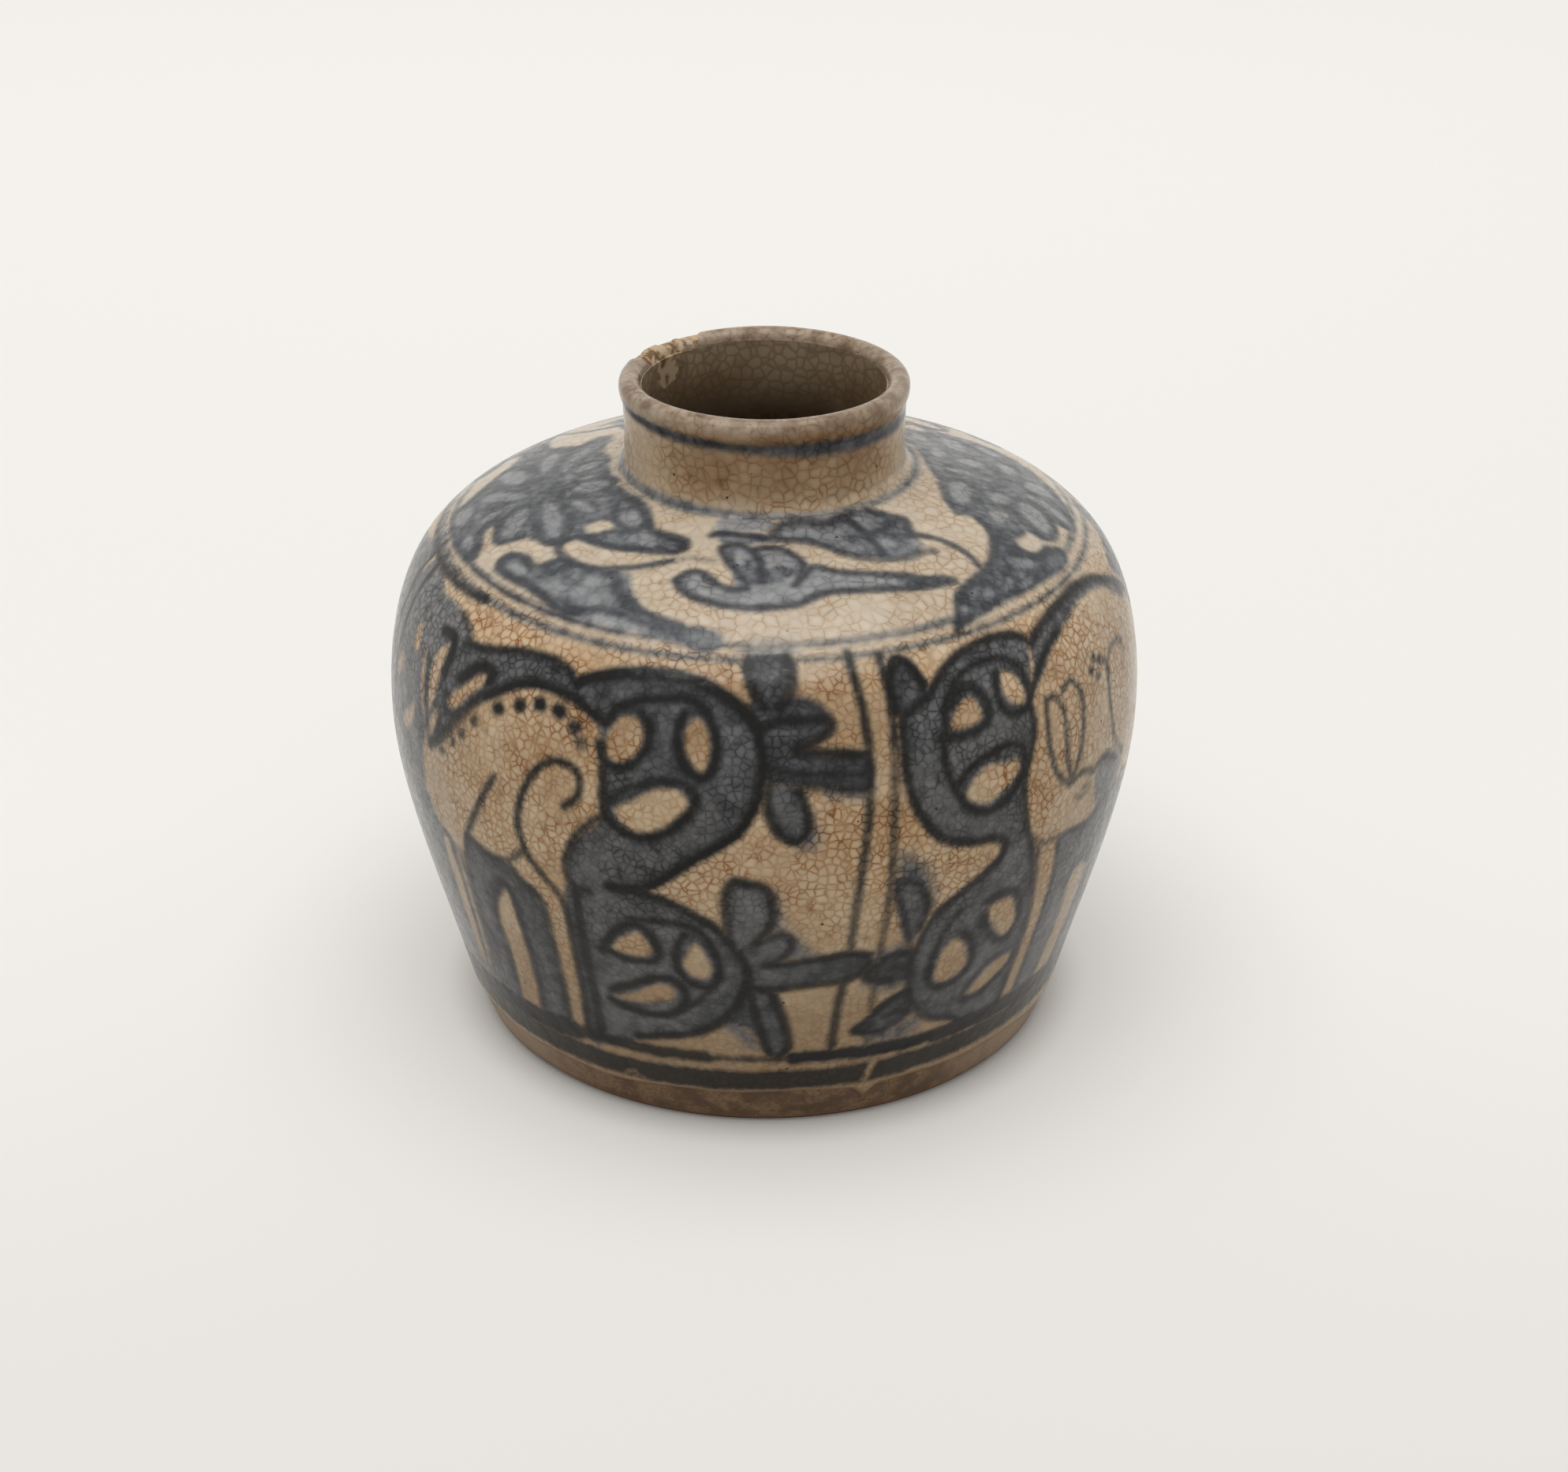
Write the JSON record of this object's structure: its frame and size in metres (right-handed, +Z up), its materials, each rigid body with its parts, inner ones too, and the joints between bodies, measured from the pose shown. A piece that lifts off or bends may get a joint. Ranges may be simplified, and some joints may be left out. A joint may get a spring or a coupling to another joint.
{
  "type": "porcelain jar",
  "caption": "Small wide-shouldered porcelain jar with a short upright neck, crackled glaze, cobalt-painted animal and scroll panels, and a bare turned foot.",
  "frame": {"origin": "centre of the foot, on the surface that the jar stands on", "axes": "+Z up along the jar's axis to the mouth, -Y towards the painted face that the picture shows, +X to its right"},
  "size_m": [0.1, 0.1, 0.0889],
  "materials": {
    "clay": "bare fired clay, brown at the foot",
    "slip": "fired luting slip",
    "painted_glaze": "glossy crackled buff glaze over grey-blue cobalt painting",
    "plain_glaze": "glossy crackled buff glaze"
  },
  "bodies": {
    "root": {"lower_body": "clay", "waist_slip": "slip", "upper_body": "clay", "neck_slip": "slip", "neck_collar": "clay", "outer_glaze": "painted_glaze", "inner_glaze": "plain_glaze"}
  },
  "joints": []
}
